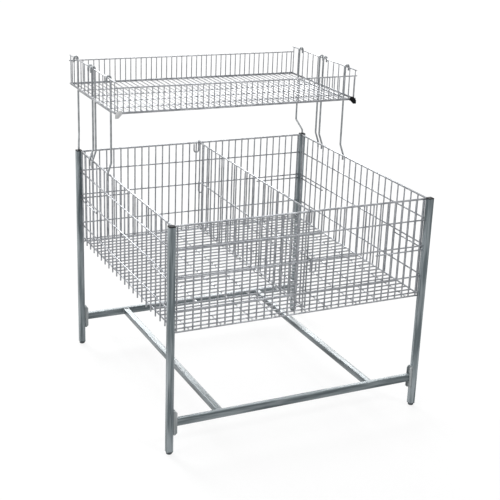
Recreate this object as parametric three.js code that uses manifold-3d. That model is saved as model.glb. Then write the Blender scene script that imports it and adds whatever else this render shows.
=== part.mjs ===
// Retail dump bin: a square wire basket on four tube legs, with a wire tray held above its rear half.
// Millimetres, +Z up, +Y towards the rear, the origin on the floor under the middle of the whole outline.
import * as THREE from "three";
import { mergeVertices } from "three/addons/utils/BufferGeometryUtils.js";
import Module from "manifold-3d";

const wasm = await Module();
wasm.setup();

// Clearances
const FIT = 0.3; // between two pieces that touch
const OVERRUN = 2; // how far a cutter reaches past what it cuts
const WIRE_GAP = 0.05; // between two wires of one grille that only touch
const WELD_BITE = 0.15; // how deep one welded wire sinks into the other

// Table frame
const HEIGHT = 900; // floor to the top of the leg caps
const SPREAD_X = 1075; // leg centre to leg centre, left to right
const SPREAD_Y = 1075; // leg centre to leg centre, front to rear
const LEG_SIDE = 25;
const LEG_CORNER = 2.5;
const TUBE_WALL = 1.5;

// Plastic plugs at both ends of each leg
const CAP_PLATE = 3;
const CAP_STEM = 18;
const CAP_BEVEL = 1;
const FOOT_HEIGHT = 9;
const FOOT_RADIUS = 11;
const FOOT_SOLE_RADIUS = 9.5;
const FOOT_BEVEL = 1.5;
const FOOT_COLLAR = 3; // plate between the glide and the end of the tube
const FOOT_STEM = 15;
const FOOT_SIDES = 12;

// Lower frame
const BAR_HEIGHT = 30;
const BAR_DEPTH = 20;
const BAR_CORNER = 2;
const BAR_CENTRE_Z = 130;
const STRETCHER_OFFSET = 330; // from the middle of the table to each stretcher
const CLAW_HEIGHT = 100;
const CLAW_REACH = 14;
const CLAW_PLATE = 2.2;
const CLAW_BEVEL = 8;
const BOLT_RADIUS = 3;
const BOLT_HEAD_RADIUS = 5.5;
const BOLT_HEAD = 4;
const BOLT_GRIP = 7; // shank inside the leg
const BOLT_OFFSET = 34; // above and below the middle of the claw

// Walls of the bin: radii of the round wires, and where they run
const WIRE = 3;
const EDGE_WIRE = 3.25; // outer wires, into which the others end
const TOP_RAIL = 4;
const WALL_INSET = 7; // wall plane to leg centre line
const RAIL_TOP_DROP = 5; // leg top to the middle of the top rail
const RAIL_DROPS = [85, 192, 320]; // top rail down to the three cross rails
const WALL_HEIGHT = 405; // top rail down to the bottom rail
const END_GAP = 12; // leg face to the first upright wire
const FRONT_SPACES = 32;
const SIDE_SPACES = 21;
const FRONT_WELD_STEP = 4; // every fourth upright is welded to the cross rails, the others touch them
const SIDE_WELD_STEP = 3;
const HOOK_WIRE_LENGTH = 215;
const HOOK_WIRE_DROP = 17; // below the second cross rail
const HOOK_TIP = 3; // past the inner face of the tube wall

// Floor grid of the bin
const FLOOR_SPACES = 30;
const FLOOR_WELD_STEP = 5;
const FLOOR_RUNNERS = [-14.5, -10.5, -6.5, -3.5, 0.5, 3.5, 7.5, 10.5, 14.5]; // in spaces of the front wall
const FLOOR_SIDE_GAP = 5; // to the side walls
const RUNNER_TIP = 6; // past the plane of the front and rear walls

// Divider
const DIVIDER_X = 15;
const DIVIDER_SPACES = 24;
const DIVIDER_WELD_STEP = 4;
const DIVIDER_FLOOR_GAP = 2;
const LOOP_DROP = 46; // how far the wire of a hook runs down behind its rail before it turns back up
const LOOP_WIDTH = 22;
const LOOP_RETURN = 8; // from the middle of the rail down to the free end of the hook
const LOOP_BEND_SHARE = 0.46; // bend radius at the foot of a hook, as a share of its width

// Tray above the rear half
const TRAY_INSET = 6; // side walls to the centre lines of the legs
const TRAY_OVERHANG = 120.5; // centre lines of the rear legs to the rear wall
const TRAY_DEPTH = 584;
const TRAY_FLOOR_Z = 1163;
const TRAY_WALL = 96; // front and rear walls, bottom rail to top rail
const TRAY_SIDE_RISE = 23; // how much higher the side walls stand
const TRAY_WIRE = 2.25;
const TRAY_EDGE = 2.5;
const TRAY_RAIL = 3;
const TRAY_SPACES = 44;
const TRAY_SIDE_SPACES = 12;
const TRAY_CROSS_SPACES = 5;
const TRAY_WELD_STEP = 6;
const TRAY_CORNER = 8; // from a corner of the tray to the first upright wire
const TRAY_TIP = 5; // how far the rails stand out past a corner

// Plastic clips on the front bottom corners of the tray
const CLIP_WIDTH = 28;
const CLIP_OVERHANG = 4; // past the side wall
const CLIP_RISE = 9; // above the middle of the bottom rail
const CLIP_DROP = 22;
const CLIP_CUT = 15; // slope at two opposite corners
const CLIP_THICKNESS = 6;
const CLIP_JAW = 18; // how far its jaw reaches back below the floor
const CLIP_JAW_WIDTH = 14;
const CLIP_JAW_HEIGHT = 5;

// Supports between the table and the tray
const ROD = 4.5;
const BRACE = 3.5; // bar that joins the two rods of a support and carries the tray's floor
const ROD_SIDES = 6;
const FRAME_WIDTH = 195; // between the two rods of one support
const PAIR_GAP = 34; // between the two supports of one side
const REAR_OFFSET = 40.5; // how far behind its leg the rearmost rod meets the tray
const LEAN = 20; // degrees that a rod leans outwards above its foot
const CRANK_BEND = 14; // radius of the bends above the foot
const CRANK_FOOT = 16; // how high above its cap a rear rod starts to lean
const SPIGOT = 12; // how deep a rear rod stands in its cap
const FOOT_HOOK_TAIL = 24;
const TRAY_HOOK_TAIL = 16;
const BEND_STEPS = 3; // rings in a quarter bend
const LEAST_STEPS = 2;

// Materials
function finish(color, metalness, roughness) {
  return new THREE.MeshStandardMaterial({ color, metalness, roughness });
}
const TUBE_STEEL = finish(0x8a959b, 0.9, 0.42);
const BRIGHT_WIRE = finish(0xc9ced1, 0.95, 0.28);
const BLACK_PLASTIC = finish(0x1c1f21, 0, 0.5);
const GREY_PLASTIC = finish(0xb4b9bc, 0, 0.45);
const BOLT_STEEL = finish(0xa9aeb0, 0.9, 0.4);

// Sizes that follow from those above
const SQUARE_SHARE = Math.sqrt(Math.PI) / 2; // half side of a square as large as a circle of radius 1
const HALF_WIRE = WIRE * SQUARE_SHARE;
const HALF_EDGE = EDGE_WIRE * SQUARE_SHARE;
const HALF_TOP_RAIL = TOP_RAIL * SQUARE_SHARE;
const HALF_TRAY_WIRE = TRAY_WIRE * SQUARE_SHARE;
const HALF_TRAY_EDGE = TRAY_EDGE * SQUARE_SHARE;
const HALF_TRAY_RAIL = TRAY_RAIL * SQUARE_SHARE;
const HALF_BRACE = BRACE * SQUARE_SHARE;
const WELD_STAND = WIRE_GAP + WELD_BITE; // how far a welded wire stands out of its row
const CROSS_OFFSET = 2 * HALF_WIRE + WIRE_GAP; // from a row of wires to the wires across it
const LEG_X = SPREAD_X / 2;
const LEG_Y = SPREAD_Y / 2;
const LEG_HALF = LEG_SIDE / 2;
const LEG_BORE = LEG_SIDE - 2 * TUBE_WALL;
const WALL_X = LEG_X - WALL_INSET;
const TRAY_HALF_WIDTH = LEG_X - TRAY_INSET;
const WALL_Y = LEG_Y - WALL_INSET;
const RAIL_Z = HEIGHT - RAIL_TOP_DROP;
const FLOOR_RAIL_Z = RAIL_Z - WALL_HEIGHT;
const HOOK_WIRE_Z = RAIL_Z - RAIL_DROPS[1] - HOOK_WIRE_DROP;
const REACH_X = LEG_X - LEG_HALF - FIT;
const REACH_Y = LEG_Y - LEG_HALF - FIT;
const FRONT_PITCH = (2 * (REACH_X - END_GAP)) / FRONT_SPACES;
const RUNNER_Z = FLOOR_RAIL_Z + HALF_EDGE + FIT + HALF_WIRE;
const GRID_Z = RUNNER_Z + CROSS_OFFSET;
const TRAY_REAR_Y = LEG_Y + TRAY_OVERHANG;
const TRAY_FRONT_Y = TRAY_REAR_Y - TRAY_DEPTH;
const TRAY_MIDDLE_Y = TRAY_REAR_Y - TRAY_DEPTH / 2;
const TRAY_TOP_Z = TRAY_FLOOR_Z + TRAY_WALL;
const TRAY_SIDE_Z = TRAY_TOP_Z + TRAY_SIDE_RISE;
const TRAY_GRID_Z = TRAY_FLOOR_Z - 2 * HALF_TRAY_EDGE - FIT;
const TRAY_CROSS_Z = TRAY_GRID_Z - 2 * HALF_TRAY_WIRE - WIRE_GAP;
const ROD_RIDGE = ridge(ROD, ROD_SIDES);
const ROD_FLAT = ROD_RIDGE * Math.cos(Math.PI / ROD_SIDES);
const SOCKET_RIDGE = (ROD_RIDGE + FIT) / Math.cos(Math.PI / ROD_SIDES); // room for the rod at any turn
const LEAN_ANGLE = THREE.MathUtils.degToRad(LEAN);
const RAIL_SHADOW = HALF_TOP_RAIL * (Math.cos(LEAN_ANGLE) + Math.sin(LEAN_ANGLE)); // to a line that leans
const RAIL_HOOK = RAIL_SHADOW + ROD_FLAT + FIT; // bend radius over the table's side rail
const TRAY_HOOK = HALF_TRAY_RAIL * Math.SQRT2 + ROD_FLAT + FIT; // bend radius over the tray's side rail
const ROD_X = TRAY_HALF_WIDTH - TRAY_HOOK;
const BRACE_Z = TRAY_CROSS_Z - HALF_TRAY_WIRE - FIT - HALF_BRACE;
const REAR_REACH = TRAY_REAR_Y + HALF_TRAY_RAIL;
const CENTRE_SHIFT_Y = (REAR_REACH - (LEG_Y + LEG_HALF)) / 2;

// Circumradius of a regular polygon as large as a circle
function ridge(radius, count) {
  const wedge = (2 * Math.PI) / count;
  return radius * Math.sqrt(wedge / Math.sin(wedge));
}

const corners = [
  { name: "front_left", x: -1, y: -1 },
  { name: "front_right", x: 1, y: -1 },
  { name: "rear_left", x: -1, y: 1 },
  { name: "rear_right", x: 1, y: 1 },
];
const sides = [
  { name: "left", x: -1 },
  { name: "right", x: 1 },
];
const ends = [
  { name: "front", y: -1 },
  { name: "rear", y: 1 },
];
const levels = [
  { name: "upper", z: 1 },
  { name: "lower", z: -1 },
];

const bin = new THREE.Group();

function add(name, geometry, material, position = [0, 0, 0]) {
  const mesh = new THREE.Mesh(geometry, material);
  mesh.name = name;
  mesh.position.set(...position);
  bin.add(mesh);
}

// Solids for joining and cutting
function solid(geometry) {
  const bare = geometry.clone();
  bare.deleteAttribute("normal");
  bare.deleteAttribute("uv");
  const merged = mergeVertices(bare);
  return new wasm.Manifold(
    new wasm.Mesh({
      numProp: 3,
      vertProperties: new Float32Array(merged.attributes.position.array),
      triVerts: new Uint32Array(merged.index.array),
    }),
  );
}

function geometryOf(made) {
  const mesh = made.getMesh();
  const geometry = new THREE.BufferGeometry();
  geometry.setAttribute("position", new THREE.BufferAttribute(mesh.vertProperties, mesh.numProp));
  geometry.setIndex(new THREE.BufferAttribute(mesh.triVerts, 1));
  return geometry;
}

const fuse = (solids) => solids.reduce((all, next) => all.add(next));

// Sections
function roundedRectangle(width, height, corner) {
  const shape = new THREE.Shape();
  const [x, y] = [width / 2, height / 2];
  shape.moveTo(-x + corner, -y);
  shape.lineTo(x - corner, -y);
  shape.lineTo(x, -y + corner);
  shape.lineTo(x, y - corner);
  shape.lineTo(x - corner, y);
  shape.lineTo(-x + corner, y);
  shape.lineTo(-x, y - corner);
  shape.lineTo(-x, -y + corner);
  shape.closePath();
  return shape;
}

function rectangle(width, height) {
  const [x, y] = [width / 2, height / 2];
  return new THREE.Shape([
    new THREE.Vector2(-x, -y),
    new THREE.Vector2(x, -y),
    new THREE.Vector2(x, y),
    new THREE.Vector2(-x, y),
  ]);
}

function polygon(radius, count) {
  const points = [];
  for (let i = 0; i < count; i += 1) {
    const angle = (2 * Math.PI * i) / count;
    points.push(new THREE.Vector2(radius * Math.cos(angle), radius * Math.sin(angle)));
  }
  return new THREE.Shape(points);
}

// A prism of a section, centred on the origin and laid along one axis
function prism(section, length, axis) {
  const geometry = new THREE.ExtrudeGeometry(section, { depth: length, bevelEnabled: false });
  geometry.translate(0, 0, -length / 2);
  if (axis === "x") geometry.rotateY(Math.PI / 2);
  if (axis === "y") geometry.rotateX(-Math.PI / 2);
  return geometry;
}

// A straight wire between two places on one axis, its section a square as large as the round one
function wire(half, axis, from, to, centre) {
  const place = new THREE.Vector3(...centre);
  place[axis] = (from + to) / 2;
  const geometry = prism(rectangle(2 * half, 2 * half), to - from, axis);
  return solid(geometry.translate(place.x, place.y, place.z));
}

// A line through chosen points, with one ring of the section at each
class BentLine extends THREE.Curve {
  constructor(points) {
    super();
    this.points = points;
  }
  getPoint(t) {
    return this.points[Math.round(t * (this.points.length - 1))].clone();
  }
  getPointAt(u) {
    return this.getPoint(u);
  }
  getTangentAt(u) {
    const last = this.points.length - 1;
    const i = Math.round(u * last);
    const here = this.points[i];
    const into = here.clone().sub(this.points[Math.max(i - 1, 0)]).normalize();
    const out = this.points[Math.min(i + 1, last)].clone().sub(here).normalize();
    return into.add(out).normalize();
  }
}

// The points of a wire with round bends: each corner holds a place and the radius of its bend
function bendPoints(cornersOfWire) {
  const points = [];
  cornersOfWire.forEach(({ place, radius }, i) => {
    if (!radius) {
      points.push(place);
      return;
    }
    const back = cornersOfWire[i - 1].place.clone().sub(place).normalize();
    const ahead = cornersOfWire[i + 1].place.clone().sub(place).normalize();
    const turn = Math.PI - back.angleTo(ahead);
    const middle = back.clone().add(ahead).normalize();
    const centre = place.clone().addScaledVector(middle, radius / Math.cos(turn / 2));
    const start = place.clone().addScaledVector(back, radius * Math.tan(turn / 2)).sub(centre);
    const axis = ahead.clone().cross(back).normalize().negate();
    const steps = Math.max(LEAST_STEPS, Math.round((turn / (Math.PI / 2)) * BEND_STEPS));
    for (let step = 0; step <= steps; step += 1) {
      const arm = start.clone().applyAxisAngle(axis, (-turn * step) / steps);
      points.push(centre.clone().add(arm));
    }
  });
  return points;
}

function bentWire(section, cornersOfWire) {
  const points = bendPoints(cornersOfWire);
  const settings = { steps: points.length - 1, extrudePath: new BentLine(points), bevelEnabled: false };
  return solid(new THREE.ExtrudeGeometry(section, settings));
}

// A tube with open ends
function tube(width, height, corner, wall, length, axis) {
  const section = roundedRectangle(width, height, corner);
  section.holes.push(rectangle(width - 2 * wall, height - 2 * wall));
  return prism(section, length, axis);
}

function makeLegs() {
  const bottom = FOOT_HEIGHT + FOOT_COLLAR;
  const top = HEIGHT - CAP_PLATE;
  const length = top - bottom - 2 * FIT;
  const middle = (top + bottom) / 2;
  const cutLength = TUBE_WALL + 2 * OVERRUN;
  const face = LEG_HALF - TUBE_WALL / 2;
  const wirePlane = CROSS_OFFSET - WALL_INSET;
  const slotSide = 2 * (HALF_WIRE + FIT);
  for (const corner of corners) {
    let leg = solid(tube(LEG_SIDE, LEG_SIDE, LEG_CORNER, TUBE_WALL, length, "z"));
    const hole = (section, axis, x, y, z) => {
      leg = leg.subtract(solid(prism(section, cutLength, axis).translate(x, y, z - middle)));
    };
    for (const level of [-1, 1]) {
      const z = BAR_CENTRE_Z + level * BOLT_OFFSET;
      hole(polygon(BOLT_RADIUS + FIT, ROD_SIDES), "x", -corner.x * face, 0, z);
    }
    hole(rectangle(slotSide, slotSide), "x", -corner.x * face, corner.y * wirePlane, HOOK_WIRE_Z);
    hole(rectangle(slotSide, slotSide), "y", corner.x * wirePlane, -corner.y * face, HOOK_WIRE_Z);
    add("leg_" + corner.name, geometryOf(leg), TUBE_STEEL, [corner.x * LEG_X, corner.y * LEG_Y, middle]);
  }
}

// Plugs: the plate covers the end of the tube and the stem fills its bore
function makeCaps() {
  const bore = LEG_BORE - 2 * FIT;
  const outline = roundedRectangle(LEG_SIDE, LEG_SIDE, LEG_CORNER);
  const rimHeight = CAP_PLATE - CAP_BEVEL;
  for (const corner of corners) {
    const rim = prism(outline, rimHeight, "z").translate(0, 0, rimHeight / 2);
    const narrow = (LEG_HALF - CAP_BEVEL) * Math.SQRT2;
    const crown = new THREE.CylinderGeometry(narrow, LEG_HALF * Math.SQRT2, CAP_BEVEL, 4);
    crown.rotateX(Math.PI / 2).rotateZ(Math.PI / 4).translate(0, 0, CAP_PLATE - CAP_BEVEL / 2);
    const trimmed = solid(crown).intersect(solid(prism(outline, 2 * CAP_PLATE, "z")));
    const stem = prism(rectangle(bore, bore), CAP_STEM + WELD_BITE, "z");
    stem.translate(0, 0, (WELD_BITE - CAP_STEM) / 2);
    let cap = fuse([solid(rim), trimmed, solid(stem)]);
    if (corner.y > 0) {
      const depth = SPIGOT + FIT + OVERRUN;
      const socket = prism(polygon(SOCKET_RIDGE, ROD_SIDES), depth, "z");
      socket.translate(0, 0, CAP_PLATE + OVERRUN - depth / 2);
      cap = cap.subtract(solid(socket));
    }
    const place = [corner.x * LEG_X, corner.y * LEG_Y, HEIGHT - CAP_PLATE];
    add("leg_cap_" + corner.name, geometryOf(cap), BLACK_PLASTIC, place);
  }
}

function makeFeet() {
  const bore = LEG_BORE - 2 * FIT;
  const profile = [
    new THREE.Vector2(0, 0),
    new THREE.Vector2(FOOT_SOLE_RADIUS, 0),
    new THREE.Vector2(FOOT_RADIUS, FOOT_BEVEL),
    new THREE.Vector2(FOOT_RADIUS, FOOT_HEIGHT + WELD_BITE),
    new THREE.Vector2(0, FOOT_HEIGHT + WELD_BITE),
  ];
  const stemLength = FOOT_STEM + WELD_BITE;
  for (const corner of corners) {
    const glide = new THREE.LatheGeometry(profile, FOOT_SIDES).rotateX(Math.PI / 2);
    const collar = prism(roundedRectangle(LEG_SIDE, LEG_SIDE, LEG_CORNER), FOOT_COLLAR, "z");
    collar.translate(0, 0, FOOT_HEIGHT + FOOT_COLLAR / 2);
    const stem = prism(rectangle(bore, bore), stemLength, "z");
    stem.translate(0, 0, FOOT_HEIGHT + FOOT_COLLAR - WELD_BITE + stemLength / 2);
    const foot = fuse([solid(glide), solid(collar), solid(stem)]);
    add("foot_" + corner.name, geometryOf(foot), BLACK_PLASTIC, [corner.x * LEG_X, corner.y * LEG_Y, 0]);
  }
}

function makeLowerFrame() {
  const barLength = 2 * (LEG_X - LEG_HALF - CLAW_PLATE - 2 * FIT);
  for (const end of ends) {
    const bar = tube(BAR_HEIGHT, BAR_DEPTH, BAR_CORNER, TUBE_WALL, barLength, "x");
    add("crossbar_" + end.name, bar, TUBE_STEEL, [0, end.y * LEG_Y, BAR_CENTRE_Z]);
  }
  const stretcherLength = 2 * (LEG_Y - BAR_DEPTH / 2 - FIT);
  for (const side of sides) {
    const stretcher = tube(LEG_SIDE, LEG_SIDE, LEG_CORNER, TUBE_WALL, stretcherLength, "y");
    add("stretcher_" + side.name, stretcher, TUBE_STEEL, [side.x * STRETCHER_OFFSET, 0, BAR_CENTRE_Z]);
  }
}

// Channels that hold the ends of the crossbars on the legs
function makeClaws() {
  const pocket = BAR_DEPTH + 2 * FIT;
  const hollowDepth = CLAW_REACH - CLAW_PLATE + OVERRUN;
  for (const corner of corners) {
    const inner = -corner.x;
    const block = new THREE.BoxGeometry(CLAW_REACH, LEG_SIDE, CLAW_HEIGHT);
    const hollow = new THREE.BoxGeometry(hollowDepth, pocket, CLAW_HEIGHT + 2 * OVERRUN);
    hollow.translate(inner * (CLAW_PLATE + hollowDepth / 2), 0, 0);
    let claw = solid(block.translate((inner * CLAW_REACH) / 2, 0, 0)).subtract(solid(hollow));
    for (const level of [-1, 1]) {
      const cutSide = CLAW_BEVEL * Math.SQRT2;
      const slope = new THREE.BoxGeometry(cutSide, LEG_SIDE + 2 * OVERRUN, cutSide).rotateY(Math.PI / 4);
      slope.translate(inner * CLAW_REACH, 0, (level * CLAW_HEIGHT) / 2);
      claw = claw.subtract(solid(slope));
      const hole = prism(polygon(BOLT_RADIUS + FIT, ROD_SIDES), CLAW_PLATE + 2 * OVERRUN, "x");
      claw = claw.subtract(solid(hole.translate((inner * CLAW_PLATE) / 2, 0, level * BOLT_OFFSET)));
    }
    const x = corner.x * (LEG_X - LEG_HALF - FIT);
    add("claw_" + corner.name, geometryOf(claw), TUBE_STEEL, [x, corner.y * LEG_Y, BAR_CENTRE_Z]);
  }
}

function makeBolts() {
  const shankLength = CLAW_PLATE + 2 * FIT + TUBE_WALL + BOLT_GRIP;
  for (const corner of corners) {
    for (const level of levels) {
      const inner = -corner.x;
      const head = prism(polygon(BOLT_HEAD_RADIUS, ROD_SIDES), BOLT_HEAD, "x");
      head.translate((inner * BOLT_HEAD) / 2, 0, 0);
      const shank = prism(polygon(BOLT_RADIUS, ROD_SIDES), shankLength + WELD_BITE, "x");
      shank.translate((inner * (WELD_BITE - shankLength)) / 2, 0, 0);
      const x = corner.x * (LEG_X - LEG_HALF - CLAW_PLATE - 2 * FIT);
      const place = [x, corner.y * LEG_Y, BAR_CENTRE_Z + level.z * BOLT_OFFSET];
      const name = "claw_bolt_" + level.name + "_" + corner.name;
      add(name, geometryOf(fuse([solid(head), solid(shank)])), BOLT_STEEL, place);
    }
  }
}

// Evenly spaced places, from -reach to reach
function spread(reach, spaces) {
  return Array.from({ length: spaces + 1 }, (_, i) => -reach + (2 * reach * i) / spaces);
}

// A short wire at each end of a wall, its tip in a hole of the leg
function hookWires(axis, reach, centre) {
  return [-1, 1].map((end) => {
    const tip = end * (reach + FIT + TUBE_WALL + HOOK_TIP);
    const tail = end * (reach - HOOK_WIRE_LENGTH);
    return wire(HALF_WIRE, axis, Math.min(tip, tail), Math.max(tip, tail), centre);
  });
}

// The long walls stand at the front and rear, the cross rails on their outer side
function makeLongWalls() {
  for (const end of ends) {
    const cross = end.y * CROSS_OFFSET;
    const pieces = [
      wire(HALF_TOP_RAIL, "x", -REACH_X, REACH_X, [0, 0, RAIL_Z]),
      wire(HALF_EDGE, "x", -REACH_X, REACH_X, [0, 0, FLOOR_RAIL_Z]),
    ];
    spread(REACH_X - END_GAP, FRONT_SPACES).forEach((x, i) => {
      const stand = i % FRONT_WELD_STEP === 0 ? end.y * WELD_STAND : 0;
      pieces.push(wire(HALF_WIRE, "z", FLOOR_RAIL_Z, RAIL_Z, [x, stand, 0]));
    });
    for (const drop of RAIL_DROPS)
      pieces.push(wire(HALF_WIRE, "x", -REACH_X, REACH_X, [0, cross, RAIL_Z - drop]));
    pieces.push(...hookWires("x", REACH_X, [0, cross, HOOK_WIRE_Z]));
    add("wall_" + end.name, geometryOf(fuse(pieces)), BRIGHT_WIRE, [0, end.y * WALL_Y, 0]);
  }
}

// The uprights of the side walls end free below the lowest cross rail
function makeSideWalls() {
  for (const side of sides) {
    const cross = side.x * CROSS_OFFSET;
    const pieces = [wire(HALF_TOP_RAIL, "y", -REACH_Y, REACH_Y, [0, 0, RAIL_Z])];
    spread(REACH_Y - END_GAP, SIDE_SPACES).forEach((y, i) => {
      const stand = i % SIDE_WELD_STEP === 0 ? side.x * WELD_STAND : 0;
      pieces.push(wire(HALF_WIRE, "z", FLOOR_RAIL_Z, RAIL_Z, [stand, y, 0]));
    });
    for (const drop of RAIL_DROPS)
      pieces.push(wire(HALF_WIRE, "y", -REACH_Y, REACH_Y, [cross, 0, RAIL_Z - drop]));
    pieces.push(...hookWires("y", REACH_Y, [cross, 0, HOOK_WIRE_Z]));
    add("wall_" + side.name, geometryOf(fuse(pieces)), BRIGHT_WIRE, [side.x * WALL_X, 0, 0]);
  }
}

// The runners of the floor lie on the bottom rails of the long walls, between two uprights
function makeFloor() {
  const runnerReach = WALL_Y + RUNNER_TIP;
  const halfWidth = WALL_X - HALF_WIRE - FLOOR_SIDE_GAP - HALF_EDGE;
  const halfDepth = WALL_Y - 2 * HALF_WIRE - FIT;
  const pieces = FLOOR_RUNNERS.map((spaces) =>
    wire(HALF_WIRE, "y", -runnerReach, runnerReach, [spaces * FRONT_PITCH, 0, RUNNER_Z]),
  );
  for (const side of sides)
    pieces.push(wire(HALF_EDGE, "y", -runnerReach, runnerReach, [side.x * halfWidth, 0, GRID_Z]));
  spread(halfDepth, FLOOR_SPACES).forEach((y, i) => {
    const sink = i % FLOOR_WELD_STEP === 0 ? WELD_STAND : 0;
    pieces.push(wire(HALF_WIRE, "x", -halfWidth, halfWidth, [0, y, GRID_Z - sink]));
  });
  add("floor_grid", geometryOf(fuse(pieces)), BRIGHT_WIRE);
}

const bend = (place, radius = 0) => ({ place, radius });

// The loop of a hook outside its rail: down at one x, then back up at the other
function loopPoints(nearX, farX, y, railZ) {
  const radius = LOOP_BEND_SHARE * LOOP_WIDTH;
  return [
    bend(new THREE.Vector3(nearX, y, railZ - LOOP_DROP), radius),
    bend(new THREE.Vector3(farX, y, railZ - LOOP_DROP), radius),
    bend(new THREE.Vector3(farX, y, railZ - LOOP_RETURN)),
  ];
}

// The end wires of the divider run up and over the top rails, and its middle wire hooks over two cross rails
function makeDivider() {
  const bottom = GRID_Z + HALF_EDGE + DIVIDER_FLOOR_GAP + HALF_EDGE;
  const topHook = HALF_TOP_RAIL * Math.SQRT2 + HALF_WIRE + FIT;
  const middleHook = HALF_WIRE * Math.SQRT2 + HALF_WIRE + FIT;
  const section = rectangle(2 * HALF_WIRE, 2 * HALF_WIRE);
  const endY = WALL_Y - topHook;
  const pieces = [
    wire(HALF_EDGE, "y", -endY, endY, [0, 0, RAIL_Z]),
    wire(HALF_EDGE, "y", -endY, endY, [0, 0, bottom]),
  ];
  const uprights = spread(endY, DIVIDER_SPACES).slice(1, -1);
  uprights.forEach((y, i) => {
    const stand = i % DIVIDER_WELD_STEP === 1 ? WELD_STAND : 0;
    pieces.push(wire(HALF_WIRE, "z", bottom, RAIL_Z, [stand, y, 0]));
  });
  const at = (x, y, z) => new THREE.Vector3(x, y, z);
  for (const end of ends) {
    const outside = end.y * (WALL_Y + topHook);
    const line = [
      bend(at(0, end.y * endY, bottom - HALF_EDGE)),
      bend(at(0, end.y * endY, RAIL_Z + topHook), topHook),
      bend(at(0, outside, RAIL_Z + topHook), topHook),
      ...loopPoints(0, -LOOP_WIDTH, outside, RAIL_Z),
    ];
    pieces.push(bentWire(section, line));
  }
  const crossRailZ = RAIL_Z - RAIL_DROPS[1];
  const middleY = WALL_Y + CROSS_OFFSET + middleHook;
  const middleZ = crossRailZ + middleHook;
  const farX = CROSS_OFFSET + LOOP_WIDTH;
  const line = [
    ...loopPoints(CROSS_OFFSET, farX, -middleY, crossRailZ).reverse(),
    bend(at(CROSS_OFFSET, -middleY, middleZ), middleHook),
    bend(at(CROSS_OFFSET, middleY, middleZ), middleHook),
    ...loopPoints(CROSS_OFFSET, farX, middleY, crossRailZ),
  ];
  pieces.push(bentWire(section, line));
  add("divider", geometryOf(fuse(pieces)), BRIGHT_WIRE, [DIVIDER_X, 0, 0]);
}

// The tray's front and rear walls reach past its corners, the side walls fit between them
function makeTrayWalls() {
  const railReach = TRAY_HALF_WIDTH + TRAY_TIP;
  for (const end of ends) {
    const pieces = [
      wire(HALF_TRAY_RAIL, "x", -railReach, railReach, [0, 0, TRAY_TOP_Z]),
      wire(HALF_TRAY_EDGE, "x", -railReach, railReach, [0, 0, TRAY_FLOOR_Z]),
    ];
    for (const x of spread(TRAY_HALF_WIDTH - TRAY_CORNER, TRAY_SPACES))
      pieces.push(wire(HALF_TRAY_WIRE, "z", TRAY_FLOOR_Z, TRAY_TOP_Z, [x, 0, 0]));
    const place = [0, TRAY_MIDDLE_Y + (end.y * TRAY_DEPTH) / 2, 0];
    add("tray_wall_" + end.name, geometryOf(fuse(pieces)), BRIGHT_WIRE, place);
  }
  const topReach = TRAY_DEPTH / 2 + HALF_TRAY_RAIL;
  const bottomReach = TRAY_DEPTH / 2 - HALF_TRAY_EDGE - FIT;
  for (const side of sides) {
    const pieces = [
      wire(HALF_TRAY_RAIL, "y", -topReach, topReach, [0, 0, TRAY_SIDE_Z]),
      wire(HALF_TRAY_EDGE, "y", -bottomReach, bottomReach, [0, 0, TRAY_FLOOR_Z]),
    ];
    for (const y of spread(TRAY_DEPTH / 2 - TRAY_CORNER, TRAY_SIDE_SPACES))
      pieces.push(wire(HALF_TRAY_WIRE, "z", TRAY_FLOOR_Z, TRAY_SIDE_Z, [0, y, 0]));
    const place = [side.x * TRAY_HALF_WIDTH, TRAY_MIDDLE_Y, 0];
    add("tray_wall_" + side.name, geometryOf(fuse(pieces)), BRIGHT_WIRE, place);
  }
}

// A clip covers the front of a corner, and its jaw grips the floor from below
function makeTrayClips() {
  const outer = CLIP_OVERHANG;
  const inner = CLIP_OVERHANG - CLIP_WIDTH;
  const outline = [
    [inner, CLIP_RISE],
    [outer - CLIP_CUT, CLIP_RISE],
    [outer, CLIP_RISE - CLIP_CUT],
    [outer, -CLIP_DROP],
    [inner + CLIP_CUT, -CLIP_DROP],
    [inner, CLIP_CUT - CLIP_DROP],
  ];
  const jawTop = TRAY_GRID_Z - HALF_TRAY_EDGE - FIT - TRAY_FLOOR_Z;
  const back = -HALF_TRAY_EDGE - FIT;
  for (const side of sides) {
    const face = new THREE.Shape(outline.map(([x, z]) => new THREE.Vector2(side.x * x, -z)));
    const plate = prism(face, CLIP_THICKNESS, "y").translate(0, back - CLIP_THICKNESS / 2, 0);
    const jaw = new THREE.BoxGeometry(CLIP_JAW_WIDTH, CLIP_JAW + CLIP_THICKNESS, CLIP_JAW_HEIGHT);
    const jawX = side.x * ((outer + inner) / 2);
    jaw.translate(jawX, back + (CLIP_JAW - CLIP_THICKNESS) / 2, jawTop - CLIP_JAW_HEIGHT / 2);
    const clip = fuse([solid(plate), solid(jaw)]);
    const place = [side.x * TRAY_HALF_WIDTH, TRAY_FRONT_Y, TRAY_FLOOR_Z];
    add("tray_clip_" + side.name, geometryOf(clip), side.x < 0 ? GREY_PLASTIC : BLACK_PLASTIC, place);
  }
}

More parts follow.
